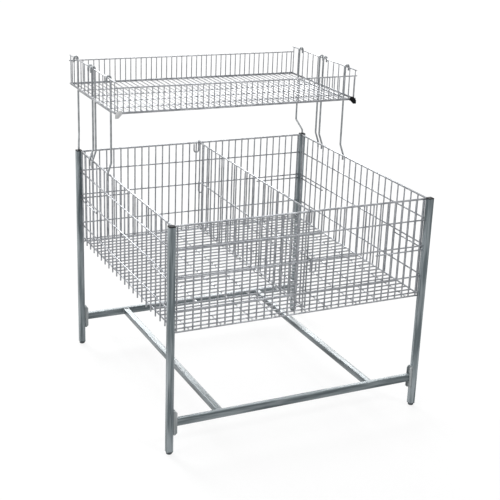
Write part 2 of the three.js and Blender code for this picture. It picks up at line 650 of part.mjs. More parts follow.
// The walls of the tray stand on its floor, whose cross wires lie on the braces of the supports
function makeTrayFloor() {
  const half = TRAY_DEPTH / 2;
  const pieces = [-1, 1].map((end) =>
    wire(HALF_TRAY_EDGE, "x", -TRAY_HALF_WIDTH, TRAY_HALF_WIDTH, [0, end * half, 0]),
  );
  spread(TRAY_HALF_WIDTH, TRAY_SPACES).forEach((x, i) => {
    const sink = i % TRAY_WELD_STEP === 1 ? WELD_STAND : 0;
    pieces.push(wire(HALF_TRAY_WIRE, "y", -half, half, [x, 0, -sink]));
  });
  for (const y of spread(half, TRAY_CROSS_SPACES).slice(1, -1)) {
    const z = TRAY_CROSS_Z - TRAY_GRID_Z;
    pieces.push(wire(HALF_TRAY_WIRE, "x", -TRAY_HALF_WIDTH, TRAY_HALF_WIDTH, [0, y, z]));
  }
  add("tray_floor", geometryOf(fuse(pieces)), BRIGHT_WIRE, [0, TRAY_MIDDLE_Y, TRAY_GRID_Z]);
}

// Two rods hang over the side rail of the tray and a brace joins them below its floor.
// A rod stands either in the cap of a rear leg or astride the side rail of the table.
function supportRod(side, y, inCap) {
  const at = (x, atY, z) => new THREE.Vector3(side.x * x, atY, z);
  const outside = WALL_X + RAIL_HOOK;
  const leanZ = RAIL_Z + RAIL_HOOK * Math.tan(LEAN_ANGLE / 2);
  const crankZ = leanZ + (outside - ROD_X) / Math.tan(LEAN_ANGLE);
  const railFoot = [
    bend(at(outside, y, RAIL_Z - FOOT_HOOK_TAIL)),
    bend(at(outside, y, leanZ), RAIL_HOOK),
  ];
  const capFoot = [
    bend(at(LEG_X, LEG_Y, HEIGHT - SPIGOT)),
    bend(at(LEG_X, LEG_Y, HEIGHT + CRANK_FOOT), CRANK_BEND),
  ];
  const overTray = TRAY_SIDE_Z + TRAY_HOOK;
  const upper = [
    bend(at(ROD_X, y, inCap ? crankZ + CRANK_FOOT : crankZ), CRANK_BEND),
    bend(at(ROD_X, y, overTray), TRAY_HOOK),
    bend(at(TRAY_HALF_WIDTH + TRAY_HOOK, y, overTray), TRAY_HOOK),
    bend(at(TRAY_HALF_WIDTH + TRAY_HOOK, y, TRAY_SIDE_Z - TRAY_HOOK_TAIL)),
  ];
  return bentWire(polygon(ROD_RIDGE, ROD_SIDES), [...(inCap ? capFoot : railFoot), ...upper]);
}

function makeSupports() {
  const middle = LEG_Y + REAR_OFFSET - FRAME_WIDTH - PAIR_GAP / 2;
  for (const side of sides) {
    for (const end of ends) {
      const near = middle + (end.y * PAIR_GAP) / 2;
      const far = near + end.y * FRAME_WIDTH;
      const pieces = [
        supportRod(side, near, false),
        supportRod(side, far, end.y > 0),
        wire(HALF_BRACE, "y", Math.min(near, far), Math.max(near, far), [side.x * ROD_X, 0, BRACE_Z]),
      ];
      add("support_" + side.name + "_" + end.name, geometryOf(fuse(pieces)), TUBE_STEEL);
    }
  }
}

makeLegs();
makeCaps();
makeFeet();
makeLowerFrame();
makeClaws();
makeBolts();
makeLongWalls();
makeSideWalls();
makeFloor();
makeDivider();
makeTrayWalls();
makeTrayClips();
makeTrayFloor();
makeSupports();

bin.position.y = -CENTRE_SHIFT_Y;

export default bin;
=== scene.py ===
import math

import bmesh
import bpy
from mathutils import Matrix, Vector


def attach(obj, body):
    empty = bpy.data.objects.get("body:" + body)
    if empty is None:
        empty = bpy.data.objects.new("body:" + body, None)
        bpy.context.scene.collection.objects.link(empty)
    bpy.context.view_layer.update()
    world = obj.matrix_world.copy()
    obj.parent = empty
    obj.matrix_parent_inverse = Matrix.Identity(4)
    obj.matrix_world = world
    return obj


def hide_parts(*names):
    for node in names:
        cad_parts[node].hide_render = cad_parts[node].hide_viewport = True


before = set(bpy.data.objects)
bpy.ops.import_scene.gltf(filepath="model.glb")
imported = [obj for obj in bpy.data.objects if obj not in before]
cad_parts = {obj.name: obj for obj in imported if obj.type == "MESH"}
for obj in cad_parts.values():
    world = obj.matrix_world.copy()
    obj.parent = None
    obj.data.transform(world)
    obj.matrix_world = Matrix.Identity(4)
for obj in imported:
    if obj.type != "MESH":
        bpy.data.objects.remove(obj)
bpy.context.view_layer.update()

scene = bpy.context.scene

# Table
HEIGHT = 0.900
LEG_X = 0.5375
LEG_Y = 0.5375
LEG_SIDE = 0.025
LEG_HALF = LEG_SIDE / 2
LEG_CORNER = 0.003
TUBE_WALL = 0.0015
FIT = 0.0003
CAP_PLATE = 0.003
CAP_STEM = 0.018
CAP_EDGE = 0.0012
FOOT_HEIGHT = 0.009
FOOT_RADIUS = 0.0118
FOOT_ROUND = 0.0045
FOOT_SIDES = 32
FOOT_COLLAR = 0.003
FOOT_STEM = 0.014
COLLAR_EDGE = 0.0010
BAR_HEIGHT = 0.030
BAR_DEPTH = 0.020
BAR_Z = 0.130
STRETCHER_X = 0.330
BEAD_PROUD = 0.0020
BEAD_LENGTH = 0.0060
BEAD_EDGE = 0.9 * BEAD_PROUD
CLAW_HEIGHT = 0.100
CLAW_REACH = 0.014
CLAW_PLATE = 0.0022
CLAW_BEVEL = 0.008
CLAW_FOLD = 0.0035
BOLT_OFFSET = 0.034
WASHER_RADIUS = 0.0055
WASHER_THICKNESS = 0.0009
WASHER_SIDES = 24
HEAD_RADIUS = 0.0052
HEAD_THICKNESS = 0.0030
HEAD_SIDES = 6
HEAD_EDGE = 0.0005
SHANK_RADIUS = 0.0028
SHANK_LENGTH = 0.0110
SHANK_SIDES = 16

# Walls, floor and divider
WIRE = 0.003
EDGE_WIRE = 0.00325
TOP_RAIL = 0.004
TOUCH = 0.00005
SQUARE_SHARE = math.sqrt(math.pi) / 2
HALF_WIRE = WIRE * SQUARE_SHARE
HALF_EDGE = EDGE_WIRE * SQUARE_SHARE
HALF_RAIL = TOP_RAIL * SQUARE_SHARE
CROSS = 2 * HALF_WIRE + TOUCH
WALL = LEG_X - 0.007
RAIL_Z = HEIGHT - 0.005
RAIL_DROPS = (0.085, 0.192, 0.320)
BOTTOM_Z = RAIL_Z - 0.405
REACH = LEG_X - LEG_HALF - FIT
END_GAP = 0.012
FRONT_SPACES = 32
SIDE_SPACES = 21
HOOK_WIRE_LENGTH = 0.215
HOOK_WIRE_Z = RAIL_Z - RAIL_DROPS[1] - 0.017
HOOK_TIP = 0.003
RUNNER_Z = BOTTOM_Z + HALF_EDGE + FIT + HALF_WIRE
RUNNER_TIP = 0.006
GRID_Z = RUNNER_Z + CROSS
FLOOR_RUNNERS = (-14.5, -10.5, -6.5, -3.5, 0.5, 3.5, 7.5, 10.5, 14.5)
FLOOR_SPACES = 30
FLOOR_SIDE_GAP = 0.005
DIVIDER_X = 0.015
DIVIDER_SPACES = 24
DIVIDER_FLOOR_GAP = 0.002
LOOP_DROP = 0.046
LOOP_WIDTH = 0.022
LOOP_RETURN = 0.008
LOOP_BEND = 0.46 * LOOP_WIDTH

# Tray and its supports
TRAY_X = LEG_X - 0.006
TRAY_DEPTH = 0.584
TRAY_REAR = LEG_Y + 0.1205
TRAY_FRONT = TRAY_REAR - TRAY_DEPTH
TRAY_MIDDLE = TRAY_REAR - TRAY_DEPTH / 2
TRAY_FLOOR_Z = 1.163
TRAY_TOP_Z = TRAY_FLOOR_Z + 0.096
TRAY_SIDE_Z = TRAY_TOP_Z + 0.023
TRAY_WIRE = 0.00225
TRAY_EDGE = 0.0025
TRAY_RAIL = 0.00265
# The solids' rail is thicker, and the hooks over it are bent to that size
TRAY_RAIL_SOLID = 0.003
HALF_TRAY_WIRE = TRAY_WIRE * SQUARE_SHARE
HALF_TRAY_EDGE = TRAY_EDGE * SQUARE_SHARE
HALF_TRAY_RAIL = TRAY_RAIL_SOLID * SQUARE_SHARE
TRAY_SPACES = 44
TRAY_SIDE_SPACES = 12
TRAY_CROSS_SPACES = 5
TRAY_CORNER = 0.008
TRAY_TIP = 0.005
TRAY_GRID_Z = TRAY_FLOOR_Z - 2 * HALF_TRAY_EDGE - FIT
TRAY_CROSS_Z = TRAY_GRID_Z - 2 * HALF_TRAY_WIRE - TOUCH
CLIP_OUTLINE = (
    (-0.024, 0.009), (-0.011, 0.009), (0.004, -0.006),
    (0.004, -0.022), (-0.009, -0.022), (-0.024, -0.007),
)
CLIP_THICKNESS = 0.006
CLIP_JAW = 0.018
CLIP_JAW_WIDTH = 0.014
CLIP_JAW_HEIGHT = 0.005
CLIP_EDGE = 0.0016
ROD = 0.0041
ROD_FLAT = 0.0042853
BRACE = 0.0035
BRACE_Z = TRAY_CROSS_Z - HALF_TRAY_WIRE - FIT - BRACE * SQUARE_SHARE
LEAN = math.radians(20)
CRANK_BEND = 0.014
CRANK_FOOT = 0.016
SPIGOT = 0.012
SOCKET_SIDES = 24
RAIL_HOOK = HALF_RAIL * (math.cos(LEAN) + math.sin(LEAN)) + ROD_FLAT + FIT
TRAY_HOOK = HALF_TRAY_RAIL * math.sqrt(2) + ROD_FLAT + FIT
SOCKET = ROD_FLAT + FIT
ROD_X = TRAY_X - TRAY_HOOK
FOOT_HOOK_TAIL = 0.024
TRAY_HOOK_TAIL = 0.016
FRAME_WIDTH = 0.195
PAIR_GAP = 0.034
SUPPORT_MIDDLE = LEG_Y + 0.0405 - FRAME_WIDTH - PAIR_GAP / 2

# Roundness
WIRE_SIDES = 12
ROD_SIDES = 16
BEND_STEPS = 8
END_ROUND_SHARE = 0.35
END_ROUND_STEPS = 2
CORNER_STEPS = 4
EDGE_STEPS = 3
FOOT_ROUND_STEPS = 6
SHARP_ANGLE = math.radians(35)
END_FACING = 0.9

# Spot welds: sides and rings of the ball, then its size in wire radii
WELD_SIDES = 8
WELD_RINGS = 5
CROSSING_FLAT = 0.62
CROSSING_WIDE = 0.95
BUTTING_FLAT = 0.5
BUTTING_WIDE = 1.22

# Places in the list of a piece's finishes
SECOND = 1
THIRD = 2

# The whole outline is centred on the origin, so the table stands a little towards the front
SHIFT = Vector((0, (LEG_Y + LEG_HALF - TRAY_REAR - HALF_TRAY_RAIL) / 2, 0))

CORNERS = (("front_left", -1, -1), ("front_right", 1, -1), ("rear_left", -1, 1), ("rear_right", 1, 1))
SIDES = (("left", -1), ("right", 1))
ENDS = (("front", -1), ("rear", 1))


# Finishes

# Most values of a pattern lie between these two
PATTERN_LOW = 0.3
PATTERN_HIGH = 0.7
# How a tube's soft bands and fine lines are spaced across it and along it
BAND_ACROSS = 1.0
BAND_ALONG = 0.06
LINE_ACROSS = 14.0
LINE_ALONG = 0.25


def new_finish(name, metallic, roughness):
    finish = bpy.data.materials.new(name)
    finish.use_nodes = True
    shader = finish.node_tree.nodes["Principled BSDF"]
    shader.inputs["Metallic"].default_value = metallic
    shader.inputs["Roughness"].default_value = roughness
    return finish, shader


def pattern(finish, scale, detail, stretch=(1, 1, 1)):
    """Noise on object coordinates, drawn out along one axis by its stretch."""
    nodes, links = finish.node_tree.nodes, finish.node_tree.links
    where = nodes.new("ShaderNodeTexCoord")
    spread = nodes.new("ShaderNodeMapping")
    noise = nodes.new("ShaderNodeTexNoise")
    spread.inputs["Scale"].default_value = stretch
    noise.inputs["Scale"].default_value = scale
    noise.inputs["Detail"].default_value = detail
    links.new(where.outputs["Object"], spread.inputs["Vector"])
    links.new(spread.outputs["Vector"], noise.inputs["Vector"])
    return noise.outputs["Fac"]


def shade(finish, shader, value, dark, light, low=PATTERN_LOW, high=PATTERN_HIGH):
    """Colours along the values of a pattern."""
    ramp = finish.node_tree.nodes.new("ShaderNodeValToRGB")
    ends = ramp.color_ramp.elements
    ends[0].position, ends[1].position = low, high
    ends[0].color = (*dark, 1)
    ends[1].color = (*light, 1)
    finish.node_tree.links.new(value, ramp.inputs["Fac"])
    finish.node_tree.links.new(ramp.outputs["Color"], shader.inputs["Base Color"])


def vary_roughness(finish, shader, value, low, high):
    spread = finish.node_tree.nodes.new("ShaderNodeMapRange")
    spread.inputs["From Min"].default_value = PATTERN_LOW
    spread.inputs["From Max"].default_value = PATTERN_HIGH
    spread.inputs["To Min"].default_value = low
    spread.inputs["To Max"].default_value = high
    finish.node_tree.links.new(value, spread.inputs["Value"])
    finish.node_tree.links.new(spread.outputs["Result"], shader.inputs["Roughness"])


def emboss(finish, shader, value, depth, strength):
    bump = finish.node_tree.nodes.new("ShaderNodeBump")
    bump.inputs["Distance"].default_value = depth
    bump.inputs["Strength"].default_value = strength
    finish.node_tree.links.new(value, bump.inputs["Height"])
    finish.node_tree.links.new(bump.outputs["Normal"], shader.inputs["Normal"])


def drawn_tube(name, along, dark, light, smooth=0.34, rough=0.50):
    """Plated steel tube with soft bands and fine lines along its length."""
    finish, shader = new_finish(name, metallic=0.25, roughness=0.38)
    bands = [BAND_ACROSS] * 3
    bands[along] = BAND_ALONG
    clouds = pattern(finish, scale=75.0, detail=3.0, stretch=bands)
    shade(finish, shader, clouds, dark, light, low=0.38, high=0.62)
    lines = [LINE_ACROSS] * 3
    lines[along] = LINE_ALONG
    streaks = pattern(finish, scale=60.0, detail=3.0, stretch=lines)
    vary_roughness(finish, shader, streaks, smooth, rough)
    emboss(finish, shader, streaks, depth=0.0002, strength=0.25)
    return finish


def plated_wire(name, dark, light):
    """Bright plated wire, a little uneven where the plating is thin."""
    finish, shader = new_finish(name, metallic=0.6, roughness=0.3)
    shade(finish, shader, pattern(finish, scale=40.0, detail=4.0), dark, light)
    grain = pattern(finish, scale=420.0, detail=2.0)
    vary_roughness(finish, shader, grain, low=0.22, high=0.38)
    emboss(finish, shader, grain, depth=0.0001, strength=0.3)
    return finish


def weld_skin():
    """The smooth bright skin of a spot weld under the plating."""
    finish, shader = new_finish("weld_skin", metallic=0.6, roughness=0.25)
    specks = pattern(finish, scale=700.0, detail=3.0)
    shade(finish, shader, specks, (0.60, 0.61, 0.62), (0.80, 0.81, 0.82))
    emboss(finish, shader, specks, depth=0.0002, strength=0.4)
    return finish


def bead_skin():
    """The uneven skin of a weld bead, a little duller than the tube."""
    finish, shader = new_finish("bead_skin", metallic=0.35, roughness=0.4)
    lumps = pattern(finish, scale=260.0, detail=2.0)
    shade(finish, shader, lumps, (0.20, 0.225, 0.235), (0.42, 0.445, 0.455))
    vary_roughness(finish, shader, lumps, low=0.32, high=0.5)
    emboss(finish, shader, lumps, depth=0.0008, strength=0.6)
    return finish


def moulded_plastic(name, dark, light, gloss):
    finish, shader = new_finish(name, metallic=0.0, roughness=0.45)
    shader.inputs["Specular IOR Level"].default_value = gloss
    grain = pattern(finish, scale=900.0, detail=2.0)
    shade(finish, shader, grain, dark, light)
    vary_roughness(finish, shader, grain, low=0.38, high=0.55)
    emboss(finish, shader, grain, depth=0.00015, strength=0.3)
    return finish


def bolt_plating():
    finish, shader = new_finish("bolt_plating", metallic=0.8, roughness=0.35)
    clouds = pattern(finish, scale=300.0, detail=3.0)
    shade(finish, shader, clouds, (0.50, 0.50, 0.48), (0.66, 0.66, 0.64))
    vary_roughness(finish, shader, clouds, low=0.28, high=0.45)
    return finish


LEG_STEEL = drawn_tube("leg_steel", 2, (0.130, 0.162, 0.176), (0.390, 0.440, 0.463))
# The crossbars' steel is a darker copy of the leg steel: painted shade
CROSSBAR_SHADED_STEEL = drawn_tube("crossbar_steel_painted_shade", 0, (0.100, 0.126, 0.137), (0.310, 0.352, 0.370))
# The stretchers' steel is a darker copy of the leg steel: painted shade, so that their sides read dark
STRETCHER_SHADED_STEEL = drawn_tube(
    "stretcher_steel_painted_shade", 1, (0.070, 0.089, 0.098), (0.235, 0.270, 0.286), smooth=0.24, rough=0.36,
)
CLAW_STEEL = drawn_tube("claw_steel", 2, (0.22, 0.25, 0.26), (0.50, 0.53, 0.54))
BRIGHT_WIRE = plated_wire("bright_wire", (0.225, 0.236, 0.256), (0.44, 0.453, 0.475))
TRAY_FINISH = plated_wire("tray_wire", (0.26, 0.27, 0.29), (0.45, 0.46, 0.48))
ROD_WIRE = plated_wire("rod_wire", (0.25, 0.265, 0.275), (0.40, 0.42, 0.435))
# A paler copy of the bright wire: a painted highlight, so that the floor runners look lit
RUNNER_HIGHLIGHT_WIRE = plated_wire("runner_wire_painted_highlight", (0.62, 0.63, 0.65), (0.82, 0.83, 0.85))
WELD = weld_skin()
BEAD = bead_skin()
BLACK = moulded_plastic("moulded_black", (0.010, 0.011, 0.012), (0.018, 0.019, 0.021), gloss=0.04)
FOOT_GREY = moulded_plastic("foot_grey", (0.085, 0.100, 0.108), (0.120, 0.138, 0.148), gloss=0.3)
GREY = moulded_plastic("moulded_grey", (0.84, 0.85, 0.86), (0.92, 0.925, 0.93), gloss=0.4)
BOLT = bolt_plating()


# Making pieces

def finish_piece(mesh, name, node, body, finishes):
    """Turns a mesh into the piece that stands for one CAD node."""
    bmesh.ops.translate(mesh, vec=SHIFT, verts=mesh.verts)
    bmesh.ops.recalc_face_normals(mesh, faces=mesh.faces)
    for face in mesh.faces:
        face.smooth = True
    data = bpy.data.meshes.new(name)
    mesh.to_mesh(data)
    mesh.free()
    data.set_sharp_from_angle(angle=SHARP_ANGLE)
    piece = bpy.data.objects.new(name, data)
    scene.collection.objects.link(piece)
    for finish in finishes:
        data.materials.append(finish)
    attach(piece, body)
    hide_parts(node)


def join(mesh, part):
    """Moves a finished part into the mesh of its piece."""
    data = bpy.data.meshes.new("part")
    part.to_mesh(data)
    part.free()
    mesh.from_mesh(data)
    bpy.data.meshes.remove(data)


def repeat(part, step, count):
    """Makes a row: the part again and again, one step apart."""
    everything = part.verts[:] + part.edges[:] + part.faces[:]
    bmesh.ops.spin(
        part, geom=everything, cent=(0, 0, 0), axis=(0, 0, 1), dvec=step, angle=0,
        steps=count - 1, use_merge=False, use_normal_flip=False, use_duplicate=True,
    )


def facing(start, heading):
    turn = Vector(heading).to_track_quat("Z", "Y").to_matrix().to_4x4()
    return Matrix.Translation(Vector(start)) @ turn


def bevel(mesh, edges, amount, steps):
    bmesh.ops.bevel(
        mesh, geom=edges, offset=amount, offset_type="OFFSET", segments=steps,
        profile=0.5, affect="EDGES", material=-1,
    )


def round_ends(part, sides, amount):
    """Rounds the rim of every end face, which has this many sides."""
    rims = [edge for edge in part.edges if any(len(face.verts) == sides for face in edge.link_faces)]
    bevel(part, rims, amount, END_ROUND_STEPS)


def new_wire(start, end, radius):
    """A straight round wire with rounded ends."""
    part = bmesh.new()
    start, end = Vector(start), Vector(end)
    along = end - start
    bmesh.ops.create_cone(
        part, cap_ends=True, cap_tris=False, segments=WIRE_SIDES, radius1=radius, radius2=radius,
        depth=along.length, matrix=facing((start + end) / 2, along),
    )
    round_ends(part, WIRE_SIDES, radius * END_ROUND_SHARE)
    return part


def coat(faces, place):
    """Gives faces the finish at a place in the list of their piece."""
    for face in faces:
        face.material_index = place


def add_weld(part, place, size):
    """A spot weld: a small flattened ball at a crossing, in the second finish."""
    matrix = Matrix.Translation(Vector(place)) @ Matrix.Diagonal((*size, 1))
    ball = bmesh.ops.create_uvsphere(
        part, u_segments=WELD_SIDES, v_segments=WELD_RINGS, radius=1, matrix=matrix,
    )
    coat({face for vert in ball["verts"] for face in vert.link_faces}, SECOND)


def add_row(mesh, start, end, radius, step, spaces, welds=()):
    """A row of wires, each with the same welds."""
    part = new_wire(start, end, radius)
    for place, size in welds:
        add_weld(part, place, size)
    repeat(part, step, spaces + 1)
    join(mesh, part)


def add_bent_rod(mesh, start, heading, radius, moves, sides=ROD_SIDES):
    """A rod from a disc: a move is a length to run, or (degrees, bend radius, axis) to turn."""
    part = bmesh.new()
    here = Vector(start)
    heading = Vector(heading).normalized()
    disc = bmesh.ops.create_circle(
        part, cap_ends=True, segments=sides, radius=radius, matrix=facing(here, heading),
    )
    face = disc["verts"][0].link_faces[0]
    for move in moves:
        if isinstance(move, tuple):
            degrees, bend_radius, axis = move
            axis = Vector(axis).normalized()
            centre = here + axis.cross(heading) * bend_radius
            made = bmesh.ops.spin(
                part, geom=[face], cent=centre, axis=axis, angle=math.radians(degrees),
                steps=max(2, round(BEND_STEPS * degrees / 90)), use_merge=False, use_duplicate=False,
            )
            face = next(item for item in made["geom_last"] if isinstance(item, bmesh.types.BMFace))
            turn = Matrix.Rotation(math.radians(degrees), 3, axis)
            here = centre + turn @ (here - centre)
            heading = turn @ heading
        else:
            made = bmesh.ops.extrude_face_region(part, geom=[face])
            fresh = [item for item in made["geom"] if isinstance(item, bmesh.types.BMVert)]
            face = next(item for item in made["geom"] if isinstance(item, bmesh.types.BMFace))
            bmesh.ops.translate(part, vec=heading * move, verts=fresh)
            here = here + heading * move
    round_ends(part, sides, radius * END_ROUND_SHARE)
    join(mesh, part)


def add_box(mesh, low, high):
    low, high = Vector(low), Vector(high)
    matrix = Matrix.Translation((low + high) / 2) @ Matrix.Diagonal((*(high - low), 1))
    return bmesh.ops.create_cube(mesh, size=1, matrix=matrix)["verts"]


def tube_mesh(low, high, along):
    """A square tube with rounded corners and open ends."""
    mesh = bmesh.new()
    add_box(mesh, low, high)
    length = high[along] - low[along]
    long_edges = [e for e in mesh.edges if abs((e.verts[0].co - e.verts[1].co)[along]) > length / 2]
    bevel(mesh, long_edges, LEG_CORNER, CORNER_STEPS)
    mesh.normal_update()
    ends = [face for face in mesh.faces if abs(face.normal[along]) > END_FACING]
    bmesh.ops.inset_region(mesh, faces=ends, thickness=TUBE_WALL, use_even_offset=True)
    rims = list({edge for face in ends for edge in face.edges})
    bmesh.ops.delete(mesh, geom=ends, context="FACES_ONLY")
    bmesh.ops.bridge_loops(mesh, edges=rims)
    return mesh


# Frame

def make_legs():
    bottom = FOOT_HEIGHT + FOOT_COLLAR + FIT
    top = HEIGHT - CAP_PLATE - FIT
    for name, x, y in CORNERS:
        low = (x * LEG_X - LEG_HALF, y * LEG_Y - LEG_HALF, bottom)
        high = (x * LEG_X + LEG_HALF, y * LEG_Y + LEG_HALF, top)
        mesh = tube_mesh(low, high, 2)
        finish_piece(mesh, "leg_tube_" + name, "leg_" + name, "frame", [LEG_STEEL])


def plug_plate(x, y, low, high, edge, rim_z):
    """A rounded square plate that covers the end of a tube."""
    plate = bmesh.new()
    add_box(plate, (x - LEG_HALF, y - LEG_HALF, low), (x + LEG_HALF, y + LEG_HALF, high))
    upright = [e for e in plate.edges if abs(e.verts[0].co.z - e.verts[1].co.z) > (high - low) / 2]
    bevel(plate, upright, LEG_CORNER, CORNER_STEPS)
    rim = [e for e in plate.edges if all(abs(vert.co.z - rim_z) < TOUCH for vert in e.verts)]
    bevel(plate, rim, edge, EDGE_STEPS)
    return plate


def level_faces(mesh, z):
    return [face for face in mesh.faces if all(abs(vert.co.z - z) < TOUCH for vert in face.verts)]


def bore_socket(mesh, x, y, seat):
    """Opens the blind hole in which a rod of the tray stands, through plate and stem."""
    inner = level_faces(mesh, seat)
    edges = [edge for face in inner for edge in face.edges]
    bmesh.ops.delete(mesh, geom=inner, context="FACES_ONLY")
    bmesh.ops.triangle_fill(mesh, edges=edges, normal=(0, 0, 1), use_beauty=True)
    top = level_faces(mesh, HEIGHT)
    rim = list(top[0].edges)
    bmesh.ops.delete(mesh, geom=top, context="FACES_ONLY")
    place = Matrix.Translation((x, y, HEIGHT))
    circle = bmesh.ops.create_circle(
        mesh, cap_ends=False, segments=SOCKET_SIDES, radius=SOCKET, matrix=place,
    )
    ring = list({edge for vert in circle["verts"] for edge in vert.link_edges})
    bmesh.ops.triangle_fill(mesh, edges=rim + ring, normal=(0, 0, 1), use_beauty=True)
    made = bmesh.ops.extrude_edge_only(mesh, edges=ring)["geom"]
    foot = [part for part in made if isinstance(part, bmesh.types.BMEdge) and part.is_boundary]
    fresh = [part for part in made if isinstance(part, bmesh.types.BMVert)]
    bmesh.ops.translate(mesh, vec=(0, 0, -SPIGOT - FIT), verts=fresh)
    bmesh.ops.edgeloop_fill(mesh, edges=foot)


def make_caps():
    bore = LEG_HALF - TUBE_WALL - FIT
    seat = HEIGHT - CAP_PLATE
    for name, x, y in CORNERS:
        carries_rod = y > 0
        x, y = x * LEG_X, y * LEG_Y
        mesh = plug_plate(x, y, seat, HEIGHT, CAP_EDGE, HEIGHT)
        add_box(mesh, (x - bore, y - bore, seat - CAP_STEM), (x + bore, y + bore, seat))
        if carries_rod:
            bore_socket(mesh, x, y, seat)
        finish_piece(mesh, "cap_" + name, "leg_cap_" + name, "frame", [BLACK])


def make_feet():
    bore = LEG_HALF - TUBE_WALL - FIT
    seat = FOOT_HEIGHT + FOOT_COLLAR
    for name, x, y in CORNERS:
        x, y = x * LEG_X, y * LEG_Y
        mesh = plug_plate(x, y, FOOT_HEIGHT, seat, COLLAR_EDGE, FOOT_HEIGHT)
        add_box(mesh, (x - bore, y - bore, seat), (x + bore, y + bore, seat + FOOT_STEM))
        glide = bmesh.new()
        bmesh.ops.create_cone(
            glide, cap_ends=True, segments=FOOT_SIDES, radius1=FOOT_RADIUS, radius2=FOOT_RADIUS,
            depth=FOOT_HEIGHT, matrix=Matrix.Translation((x, y, FOOT_HEIGHT / 2)),
        )
        sole = [e for e in glide.edges if all(vert.co.z < TOUCH for vert in e.verts)]
        bevel(glide, sole, FOOT_ROUND, FOOT_ROUND_STEPS)
        join(mesh, glide)
        finish_piece(mesh, "glide_" + name, "foot_" + name, "frame", [FOOT_GREY])


def add_bead(mesh, x, y):
    """The weld bead round the end of a stretcher, run into the face of the crossbar."""
    bead = bmesh.new()
    half = LEG_HALF + BEAD_PROUD
    low = (x - half, y - BEAD_LENGTH / 2, BAR_Z - half)
    add_box(bead, low, (x + half, y + BEAD_LENGTH / 2, BAR_Z + half))
    long_edges = [e for e in bead.edges if abs((e.verts[0].co - e.verts[1].co).y) > BEAD_LENGTH / 2]
    bevel(bead, long_edges, LEG_CORNER + BEAD_PROUD, CORNER_STEPS)
    rims = [e for e in bead.edges if abs((e.verts[0].co - e.verts[1].co).y) < TOUCH]
    bevel(bead, rims, BEAD_EDGE, EDGE_STEPS)
    coat(bead.faces, SECOND)
    join(mesh, bead)


def make_lower_frame():
    reach = LEG_X - LEG_HALF - CLAW_PLATE - 2 * FIT
    for name, y in ENDS:
        low = (-reach, y * LEG_Y - BAR_DEPTH / 2, BAR_Z - BAR_HEIGHT / 2)
        high = (reach, y * LEG_Y + BAR_DEPTH / 2, BAR_Z + BAR_HEIGHT / 2)
        mesh = tube_mesh(low, high, 0)
        node = "crossbar_" + name
        # The crossbars take the darker steel, which is painted shade
        finish_piece(mesh, "crossbar_tube_" + name, node, "frame", [CROSSBAR_SHADED_STEEL])
    reach = LEG_Y - BAR_DEPTH / 2 - FIT
    for name, x in SIDES:
        low = (x * STRETCHER_X - LEG_HALF, -reach, BAR_Z - LEG_HALF)
        high = (x * STRETCHER_X + LEG_HALF, reach, BAR_Z + LEG_HALF)
        mesh = tube_mesh(low, high, 1)
        for end in (-reach, reach):
            add_bead(mesh, x * STRETCHER_X, end)
        # The stretchers take the darker steel, which is painted shade
        finishes = [STRETCHER_SHADED_STEEL, BEAD]
        finish_piece(mesh, "stretcher_tube_" + name, "stretcher_" + name, "frame", finishes)


def make_claws():
    """Pressed channels: a folded plate whose two flanges hold the end of a crossbar."""
    low, high = BAR_Z - CLAW_HEIGHT / 2, BAR_Z + CLAW_HEIGHT / 2
    for name, x, y in CORNERS:
        mesh = bmesh.new()
        back = x * (LEG_X - LEG_HALF - FIT)
        front = back - x * CLAW_REACH
        near, far = y * LEG_Y - LEG_HALF, y * LEG_Y + LEG_HALF
        corners = ((front, near, low), (back, near, low), (back, far, low), (front, far, low))
        path = [mesh.verts.new(corner) for corner in corners]
        edges = [mesh.edges.new(pair) for pair in zip(path, path[1:])]
        made = bmesh.ops.extrude_edge_only(mesh, edges=edges)
        fresh = [part for part in made["geom"] if isinstance(part, bmesh.types.BMVert)]
        bmesh.ops.translate(mesh, vec=(0, 0, high - low), verts=fresh)
        tall = [e for e in mesh.edges if abs(e.verts[0].co.z - e.verts[1].co.z) > CLAW_HEIGHT / 2]
        bevel(mesh, [e for e in tall if len(e.link_faces) == 2], CLAW_FOLD, CORNER_STEPS)
        for level, edge_z in ((-1, low), (1, high)):
            bmesh.ops.bisect_plane(
                mesh, geom=mesh.verts[:] + mesh.edges[:] + mesh.faces[:],
                plane_co=(front, 0, edge_z - level * CLAW_BEVEL), plane_no=(-x, 0, level), clear_outer=True,
            )
        bmesh.ops.recalc_face_normals(mesh, faces=mesh.faces)
        middle = Vector(((front + back) / 2, y * LEG_Y, BAR_Z))
        web = max(mesh.faces, key=lambda face: face.calc_area())
        outward = web.normal.dot(web.calc_center_median() - middle) > 0
        bmesh.ops.solidify(mesh, geom=list(mesh.faces), thickness=CLAW_PLATE if outward else -CLAW_PLATE)
        finish_piece(mesh, "claw_plate_" + name, "claw_" + name, "frame", [CLAW_STEEL])


def add_disc(mesh, centre, heading, radius, thickness, sides):
    bmesh.ops.create_cone(
        mesh, cap_ends=True, segments=sides, radius1=radius, radius2=radius,
        depth=thickness, matrix=facing(centre, heading),
    )


